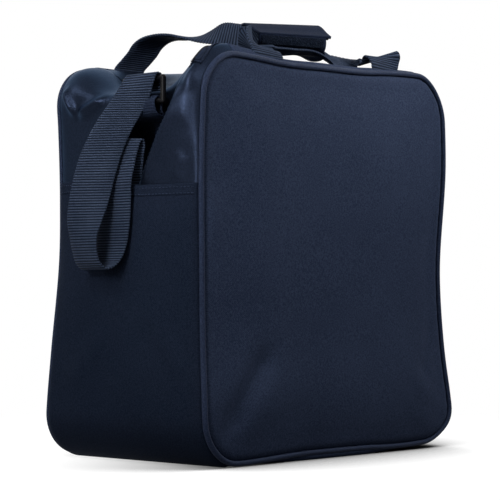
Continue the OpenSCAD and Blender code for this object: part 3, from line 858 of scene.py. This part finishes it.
def stitching(name, rows):
    """Runs of separate stitches, each a short six-sided thread sunk half into the cloth."""
    points = []
    faces = []
    for row in rows:
        starts = np.arange(0, lengths(row)[-1] - STITCH_L, STITCH_L + STITCH_GAP)
        for a, b in zip(along(row, starts), along(row, starts + STITCH_L)):
            way = unit(b - a)
            side = unit(np.cross(way, (0.31, 0.57, 0.76)))
            up = np.cross(way, side)
            faces += tube_faces(4, 6, len(points))
            for share, scale in ((0, 0.4), (0.3, 1), (0.7, 1), (1, 0.4)):
                for turn in np.radians(np.arange(0, 360, 60)):
                    swing = side * math.cos(turn) + up * math.sin(turn)
                    points.append(a + (b - a) * share + STITCH_R * scale * swing)
    return add_mesh(name, points, faces, thread)


BASE_ROLL = 3.2      # radius of the base cloth's roll up to the lower seams
BASE_FLAT = 0.86     # share of its width that lies flat
BASE_CURL = 135      # degrees that it rolls through


def make_base():
    """Base cloth with both corners; its long edges roll up to the seams, except near the corners."""
    x, z, way_x, way_z = end_path(CORNER_R - np.linspace(0, QUARTER, 18))
    flat = np.linspace(-FLAT_W, FLAT_W, 60)[1:-1]
    base_x = np.r_[-x, flat, x[::-1]][:, None]
    base_z = np.r_[z, 0 * flat, z[::-1]][:, None]
    out_x = np.r_[-way_x, 0 * flat, way_x[::-1]][:, None]
    out_z = np.r_[way_z, 0 * flat - 1, way_z[::-1]][:, None]
    edge = np.linspace(BASE_FLAT, 1, 12)
    across = np.r_[-edge[::-1], np.linspace(-BASE_FLAT, BASE_FLAT, 40)[1:-1], edge]
    curl = np.radians(BASE_CURL) * np.clip((np.abs(across) - BASE_FLAT) / (1 - BASE_FLAT), 0, 1)
    flat_y = np.minimum(np.abs(across) / BASE_FLAT, 1) * (SEAM_EDGE - 1)
    rolled_y = np.sign(across) * (flat_y + BASE_ROLL * np.sin(curl))
    plain_y = across * SEAM_EDGE
    rolled = eased(base_z, (38, 0)) * eased(np.abs(base_x), (130, 30))
    y = rolled * rolled_y + (1 - rolled) * plain_y
    inset = rolled * BASE_ROLL * (1 - np.cos(curl)) + (1 - rolled) * seam_inset(plain_y)
    place = soft(places(base_x - out_x * inset, y, base_z - out_z * inset), 0.0)
    settle(sheet("base_cloth", place[:, ::-1], BAND_T, cloth, lining), "bag", "bag_cloth", "base_panel")


def make_top_strips():
    x = np.linspace(-FLAT_W - 2, FLAT_W + 2, 80)
    edge = np.array([0, 1, 2.2, 3.6])
    for name, y in (
        ("top_front", np.r_[edge - SEAM_EDGE, np.linspace(-86, STRIP_EDGE, 10)]),
        ("top_rear", np.r_[np.linspace(REAR_STRIP - 1.5, 87, 8), SEAM_EDGE - edge[::-1]]),
    ):
        piece = sheet(f"{name}_cloth", on_top(x[:, None], y, 0.3), BAND_T, cloth, lining)
        settle(piece, "bag", "bag_cloth", f"{name}_strip")
    row = on_top(x, STRIP_EDGE - 2, 0.4)
    settle(stitching("front_strip_stitching", [row]), "bag", "bag_cloth")


def lift_with_flap(piece, side, slot, *nodes):
    """The piece keeps its place on the bag and stands for its nodes."""
    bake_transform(piece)
    finish(piece, slot, *nodes)


def make_flap():
    y = np.linspace(FLAP_FRONT, FLAP_REAR, 40)
    for side, name in SIDES:
        x = np.linspace(0, side * FLAT_W, 44)[:, None]
        out = ripple(x, y, 4.0, 60, 0.5) * smooth((y - FLAP_FRONT) / 20) - 0.2
        piece = sheet(f"{name}_flap_cloth", on_top(x, y, out)[::side], BAND_T, satin, lining)
        lift_with_flap(piece, side, "satin_cloth", "top_flap")
        row = np.linspace(2, FLAT_W - 2, 60) * side
        lines = [on_top(row, FLAP_FRONT + gap, 0.1) for gap in (2, 7)]
        lift_with_flap(stitching(f"{name}_flap_stitching", lines), side, "satin_cloth")


# Zip

COIL_R = 1.1
COIL_PITCH = 1.7
COIL_THREAD_R = 0.42
TAPE_T = 0.8
TAPE_OUT = -1.8      # of the zip's tapes and coils from the top's level
COIL_OUT = -0.8
ZIP_LAP = 8.0        # of each tape under the cloth
ROW_OUT = 2.0        # of each coil from the middle of the zip
ZIP_VEER = 8.0       # how far the zip runs towards the front seam round each corner
TAB_HALF_W = 6.5
TAB_T = 2.2
TAB_PUFF = {"left": 0.8, "right": 4.0}


def zip_line(run):
    """Where the zip lies across the band, up its ends."""
    return ZIP_Y - ZIP_VEER * smooth((ARC_TOP + QUARTER - run) / (0.5 * QUARTER))


def coil(name, line):
    """Coil of plastic thread wound along a line of points."""
    at = np.arange(0, lengths(line)[-1], COIL_PITCH / 8)
    centre = along(line, at)
    ahead = unit(np.gradient(centre, axis=0))
    side = unit(np.cross(ahead, (0, 0, 1)) + 1e-9)
    up = np.cross(side, ahead)
    turn = (at * 2 * math.pi / COIL_PITCH)[:, None]
    wound = centre + (side * np.cos(turn) + up * np.sin(turn)) * COIL_R
    return tube(name, wound, COIL_THREAD_R, 5, plastic)


def tube(name, path, radius, sides, material):
    """Round thread along a path, with flat ends."""
    ahead = unit(np.gradient(path, axis=0))
    side = unit(np.cross(ahead, (0.13, 0.27, 0.95)))
    up = np.cross(side, ahead)
    turns = np.arange(sides) * 2 * math.pi / sides
    rings = np.stack([path + radius * (side * math.cos(t) + up * math.sin(t)) for t in turns], axis=1)
    return add_mesh(name, rings.reshape(-1, 3), tube_faces(len(path), sides), material)


def make_zip():
    reach = FLAT_W - 1
    x = np.linspace(-reach, reach, 90)
    y = np.linspace(STRIP_EDGE - ZIP_LAP, ZIP_Y - 0.8, 8)
    piece = sheet("front_zip_tape", on_top(x[:, None], y, TAPE_OUT), TAPE_T, tape)
    settle(piece, "bag", "tape", "zip_tape_front")
    piece = coil("front_zip_coil", on_top(x, ZIP_Y - ROW_OUT, COIL_OUT))
    settle(piece, "bag", "black_plastic", "zip_teeth_front")
    for side, name in SIDES:
        x = np.linspace(0, side * reach, 46)
        y = np.linspace(ZIP_Y + 0.8, FLAP_FRONT + ZIP_LAP, 8)
        piece = sheet(f"{name}_rear_zip_tape", on_top(x[:, None], y, TAPE_OUT)[::side], TAPE_T, tape)
        lift_with_flap(piece, side, "tape", "zip_tape_rear")
        piece = coil(f"{name}_rear_zip_coil", on_top(x, ZIP_Y + ROW_OUT, COIL_OUT))
        lift_with_flap(piece, side, "black_plastic", "zip_teeth_rear")
        run = ARC_TOP + np.linspace(QUARTER + 1, 0.42 * QUARTER, 20)
        grid = on_end(side, run[:, None], zip_line(run)[:, None] + np.linspace(-8, 8, 10), 1.4)
        settle(sheet(f"{name}_zip_end_tape", grid[::side], TAPE_T, tape), "bag", "tape")
        for label, row in (("front", -ROW_OUT), ("rear", ROW_OUT)):
            line = on_end(side, run, zip_line(run) + row, 2.2)
            settle(coil(f"{name}_{label}_coil_end", line), "bag", "black_plastic")
        run = ARC_TOP + np.linspace(0.64, 0.44, 12) * QUARTER
        y = np.linspace(-TAB_HALF_W, TAB_HALF_W, 10)
        out = 2.2 + TAB_PUFF[name] * np.cos(y / TAB_HALF_W * math.pi / 2)
        grid = on_end(side, run[:, None], zip_line(run)[:, None] + y, out)
        settle(sheet(f"{name}_zip_stop_tab", grid[::side], TAB_T, tape), "bag", "tape", f"zip_tab_{name}")


# Handles and their wrap

HANDLE_T = 2.4
# Each point of a handle: its place, the way across the webbing, and the fold of its outer half in degrees
FRONT_HANDLE = [
    (-80, -88, 352, -1, 0, 0, 0), (-80, -88, 359, -1, 0, 0, 0), (-79.5, -84.5, 364.3, -1, 0, 0.06, 0),
    (-79, -76, 367, -0.98, 0.1, 0.1, 25), (-76.5, -67, 369.3, -0.86, 0.5, 0.05, 65),
    (-68, -58, 371.5, -0.67, 0.73, 0, 80), (-60, -52, 371.8, -0.5, 0.86, 0, 45),
    (-48, -47, 371.8, -0.1, 1, 0, 5), (-20, -45, 372.8, 0, 1, 0, 0), (20, -43.5, 374.3, 0, 1, 0.08, 0),
    (38, -43, 374.5, 0, 0.92, 0.38, 0), (54, -42, 372, 0.05, 0.82, 0.57, 0),
    (69, -41, 371, 0.15, 0.8, 0.58, 0), (86.3, -37.5, 373, 0.3, 0.87, 0.4, 0),
    (97.6, -44, 375, 0.65, 0.75, 0.1, 0), (102.3, -52.6, 374.5, 0.93, 0.35, 0.08, 0),
    (101.4, -61, 373.7, 0.98, -0.05, 0.2, 0), (93.8, -72.2, 374.4, 0.96, -0.2, 0.27, 0),
    (86.5, -83, 373, 1, -0.05, 0.25, 0), (84.5, -87.5, 366, 1, 0, 0.1, 0), (84, -88.5, 359, 1, 0, 0, 0),
    (84, -88.5, 352, 1, 0, 0, 0),
]
REAR_HANDLE = [
    (-82.7, 87, 352, 1, 0, 0, 0), (-82, 88, 359.5, 1, 0, 0, 0), (-77, 84, 368, 1, 0, 0, 0),
    (-74, 78.5, 375, 1, 0, 0, 0), (-73.5, 72, 382, 1, 0, 0, 0), (-72.5, 63, 387, 1, 0.05, 0, 0),
    (-70, 52, 389.3, 0.98, 0.18, 0, 0), (-66.5, 39, 388.8, 0.96, 0.27, 0, 0),
    (-62.5, 25, 387, 0.92, 0.35, 0.12, 0), (-57, 12, 387.5, 0.83, 0.42, 0.38, 0),
    (-49, -1, 390, 0.66, 0.42, 0.62, 0), (-42, -13, 388.5, 0.6, 0.46, 0.64, 0),
    (-30, -27, 386, 0.3, 0.7, 0.6, 0), (10, -36, 387.5, 0, 0.85, 0.5, 0), (42, -32, 390, 0, 0.82, 0.57, 0),
    (58, -20, 390, -0.3, 0.5, 0.8, 0), (66, 0, 389.5, -0.7, 0.1, 0.7, 0), (72, 24, 391, -0.95, 0, 0.3, 0),
    (78, 48, 390, -1, 0, 0, 0), (81, 68, 384, -1, 0, 0, 0), (82.5, 82, 372, -1, 0, 0, 0),
    (82, 88, 361, -1, 0, 0, 0), (82, 87, 352, -1, 0, 0, 0),
]


def make_handle(name, route, skewed):
    route = np.array(route, float)
    place, across, fold = route[:, :3], route[:, 3:6], route[:, 6]
    piece = webbing_strip(f"{name}_webbing", place, across, HANDLE_T, fold=fold, skewed=skewed)
    settle(piece, name, "webbing", name)


sleeve_low, sleeve_high = corners("grip_sleeve")
WRAP_LIFT = 11.4             # of the wrap's underside, held up by the handles
WRAP_TILTS = (0.04, 0.083)   # slope of its underside and of its leaf
WRAP_MIDDLE = (5, 11)        # x of its middle in the solid, and where that lies at the wrap's rear edge
WRAP_TURN = 18               # how far its front edge lies to the left of its rear edge
WRAP_LENGTHS = (0.945, 0.91)   # share of the solid's length at its rear and front edges
WRAP_DEPTH = 36
LEAF_OVER = 9.0              # of the leaf past the sleeve's right end
GRIP_T = 2.4


def wrap_place(x, y, z):
    """The wrap is pulled askew by the handles: narrower, turned a little and higher on its right."""
    q = (sleeve_high[1] - y) / (sleeve_high[1] - sleeve_low[1])
    share = WRAP_LENGTHS[0] + (WRAP_LENGTHS[1] - WRAP_LENGTHS[0]) * q
    new_x = WRAP_MIDDLE[1] - WRAP_TURN * q + share * (x - WRAP_MIDDLE[0])
    up = np.clip((z - sleeve_low[2] - WRAP_LIFT) / (sleeve_high[2] - sleeve_low[2] - WRAP_LIFT), 0, 1)
    tilt = WRAP_TILTS[0] + (WRAP_TILTS[1] - WRAP_TILTS[0]) * up
    return places(new_x, sleeve_high[1] - WRAP_DEPTH * q, z + tilt * (new_x - WRAP_MIDDLE[1]))


def wrap_sheet(name, section, x_low, x_high, thickness, material, step=1.6):
    path = resample([(0, y, z) for y, z in section], step)
    x = np.linspace(x_low, x_high, 50)
    return sheet(name, wrap_place(x[:, None], path[:, 1], path[:, 2]), thickness, material)


def make_wrap():
    left, front, low = sleeve_low
    right, rear, high = sleeve_high
    low = low + WRAP_LIFT
    wall = low + 11
    section = [
        (front, wall), (front - 0.6, low + 6), (front + 2, low + 2), (front + 9, low + 0.4),
        (front + 25, low), (rear - 9, low + 0.4), (rear - 2.2, low + 2), (rear + 0.2, low + 8),
        (rear, low + 16), (rear - 0.6, high + 1.2),
    ]
    piece = wrap_sheet("grip_sleeve_cloth", section, left, right - LEAF_OVER, GRIP_T, grip_cloth)
    settle(piece, "rear_handle", "bag_cloth", "grip_sleeve")
    section = [(front - 4.6, low + 1.5), (front - 5.4, low + 7), (front - 4.6, wall - 0.5)]
    piece = wrap_sheet("loop_tape", section, left + 3, right - LEAF_OVER - 3, 1.6, pile, 0.8)
    settle(piece, "rear_handle", "hook_and_loop", "grip_loop_strip")
    leaf = [
        (rear - 0.6, high + 2.4), (rear - 8, high + 2.6), (rear - 22, high - 0.4), (rear - 38, high - 6.2),
        (front - 3, high - 10.8),
    ]
    piece = wrap_sheet("grip_leaf_cloth", leaf, left, right, GRIP_T, grip_cloth)
    settle(piece, "grip_flap", "bag_cloth", "grip_flap")
    under = [(y, z - 1.2) for y, z in leaf[2:]]
    piece = wrap_sheet("hook_tape", under, left + 4, right - 4, 1.2, pile, 1.0)
    settle(piece, "grip_flap", "hook_and_loop", "grip_hook_strip")
    path = resample([(0, y, z) for y, z in leaf], 2.0)
    rows = [wrap_place(x, path[:, 1], path[:, 2] + 0.2) for x in (left + 2.5, right - 2.5)]
    y, z = leaf[-1]
    rows.append(wrap_place(np.linspace(left + 3, right - 3, 60), y + 2.5, z + 1.4))
    settle(stitching("leaf_stitching", rows), "grip_flap", "bag_cloth")


# Tabs of the strap rings: tape folded round each ring's lower bar and sewn to the end

BAR_OUT = 5.5         # of that bar from the end
BAR_Z = 315.0
TAB_FOLD = [(-4.4, -8), (-4.2, 1), (0, 4.3), (4.2, 1), (3.2, -8)]   # out and up from the bar
TAB_GAP = 2.6         # between the two layers where they are sewn


def make_ring_tab(side, name):
    low, high = corners(f"{name}_ring_tab")
    mid_y = (low[1] + high[1]) / 2
    wall = on_end(side, low[2] + np.array([1, 14]), mid_y, 1.4)
    fold = [(side * (HALF_W + BAR_OUT + out), mid_y, BAR_Z + up) for out, up in TAB_FOLD]
    route = [*wall, *fold, *(wall + (side * TAB_GAP, 0, 0))[::-1]]
    piece = webbing_strip(f"{name}_ring_tab_tape", route, [(0, 1, 0)] * len(route), 1.7, high[1] - low[1])
    # The tab takes the dark tape: partly its own colour, partly painted shade of the hollow under the ring.
    piece.data.materials[0] = tape
    settle(piece, "bag", "tape", f"{name}_ring_tab")


for end_side, end_name in SIDES:
    make_end(end_side, end_name)
    make_pocket(end_side, end_name)
    make_ring_tab(end_side, end_name)
make_base()
make_top_strips()
make_flap()
make_zip()
make_handle("front_handle", FRONT_HANDLE, False)
make_handle("rear_handle", REAR_HANDLE, True)
make_wrap()

for node, material in (
    ("left_ring", plastic), ("right_ring", plastic), ("strap_hook", plastic), ("zip_slider", plated),
    ("zip_puller", plated), ("base_board", board),
):
    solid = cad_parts[node]
    solid.data.materials.clear()
    solid.data.materials.append(material)


# Floor, light and background, in metres

WHITE = (1, 1, 1, 1)
FLOOR_SIZE = 12
SHADE_REACH = 0.2            # how near the bag must be to shade the floor
SHADE_SPAN = (0.35, 0.92)    # openness of the floor from full shade to none
FRONT_WAY = (-0.5, 0.6)      # direction on the floor, from the shaded front of the bag to its back
FRONT_SPAN = (-0.02, 0.18)   # distances that way over which the shade ends
LIT_SPAN = (0.3, 0.6)        # distances from the bag over which the floor turns to plain white


def seen_rays(tree):
    """1 for what is seen, also in a reflection or through something clear, and 0 for light on the bag."""
    rays = add_node(tree, "ShaderNodeLightPath").outputs
    seen = math_node(tree, "MAXIMUM", rays["Is Camera Ray"], rays["Is Glossy Ray"])
    return math_node(tree, "MAXIMUM", seen, rays["Is Transmission Ray"])


def shader_node(tree, kind, inputs):
    return add_node(tree, f"ShaderNode{kind}", inputs).outputs[0]


def step_node(tree, value, span):
    return map_range(tree, value, span, (0, 1), "SMOOTHSTEP")


def make_stage():
    bpy.ops.mesh.primitive_plane_add(size=FLOOR_SIZE)
    floor = bpy.context.object
    floor.name = "floor"
    material, tree, shader = new_material("pale_floor")
    tree.nodes.remove(shader)
    place = place_node(tree)
    # The floor's glow is dimmed near the bag by ambient occlusion, except behind it: painted shadow.
    nearby = add_node(tree, "ShaderNodeAmbientOcclusion", {"Distance": SHADE_REACH}, samples=16)
    shade = step_node(tree, nearby.outputs["AO"], SHADE_SPAN)
    axes = add_node(tree, "ShaderNodeSeparateXYZ", {"Vector": place}).outputs
    back = math_node(tree, "MULTIPLY", axes["X"], FRONT_WAY[0])
    back = math_node(tree, "MULTIPLY_ADD", axes["Y"], FRONT_WAY[1], back)
    open_floor = math_node(tree, "MAXIMUM", shade, step_node(tree, back, FRONT_SPAN))
    glow = shader_node(tree, "Emission", {"Color": WHITE, "Strength": open_floor})
    matte = shader_node(tree, "BsdfDiffuse", {"Color": (0.3, 0.3, 0.3, 1)})
    lit = shader_node(tree, "AddShader", {0: matte, 1: glow})
    white = shader_node(tree, "Emission", {"Color": WHITE, "Strength": 1.0})
    reach = add_node(tree, "ShaderNodeVectorMath", {0: place}, operation="LENGTH").outputs["Value"]
    near = shader_node(tree, "MixShader", {0: step_node(tree, reach, LIT_SPAN), 1: lit, 2: white})
    dim = shader_node(tree, "BsdfDiffuse", {"Color": (0.14, 0.14, 0.15, 1)})
    mix = shader_node(tree, "MixShader", {0: seen_rays(tree), 1: dim, 2: near})
    set_inputs(tree, tree.nodes["Material Output"], {"Surface": mix})
    floor.data.materials.append(material)


def make_world(fill):
    world = bpy.data.worlds.new("studio")
    bpy.context.scene.world = world
    world.use_nodes = True
    tree = world.node_tree
    white = shader_node(tree, "Background", {"Color": WHITE, "Strength": 1.0})
    soft_fill = shader_node(tree, "Background", {"Color": WHITE, "Strength": fill})
    mix = shader_node(tree, "MixShader", {0: seen_rays(tree), 1: soft_fill, 2: white})
    set_inputs(tree, tree.nodes["World Output"], {"Surface": mix})


def make_light(name, at, aim, size, watts, spread_deg=180):
    data = bpy.data.lights.new(name, "AREA")
    data.shape = "RECTANGLE"
    data.size, data.size_y = size
    data.energy = watts
    data.spread = math.radians(spread_deg)
    stand(add_object(name, data), at, aim)


make_stage()
make_world(0.05)
make_light("key_softbox", (0.30, -0.40, 0.62), (0.14, -0.09, 0.37), (0.55, 0.2), 1.35, 105)
make_light("front_left_softbox", (-0.42, -0.60, 0.72), (-0.14, -0.05, 0.32), (0.25, 0.25), 1.5)
make_light("low_left_softbox", (-0.88, -0.30, 0.14), (-0.17, 0.0, 0.04), (0.3, 0.2), 0.07, 50)
make_light("back_left_softbox", (-0.75, 0.55, 0.95), (-0.15, 0.05, 0.3), (0.3, 0.3), 2.6)
make_light("left_softbox", (-0.90, -0.14, 0.50), (-0.175, -0.05, 0.36), (0.25, 0.25), 0.75, 70)
make_light("upper_left_softbox", (-0.78, -0.12, 0.86), (-0.17, 0.07, 0.31), (0.25, 0.25), 0.3, 60)
make_light("top_softbox", (0.1, 0.3, 1.5), (0, 0, 0.3), (1.4, 1.2), 0.35)
bpy.context.scene.view_settings.view_transform = "Standard"
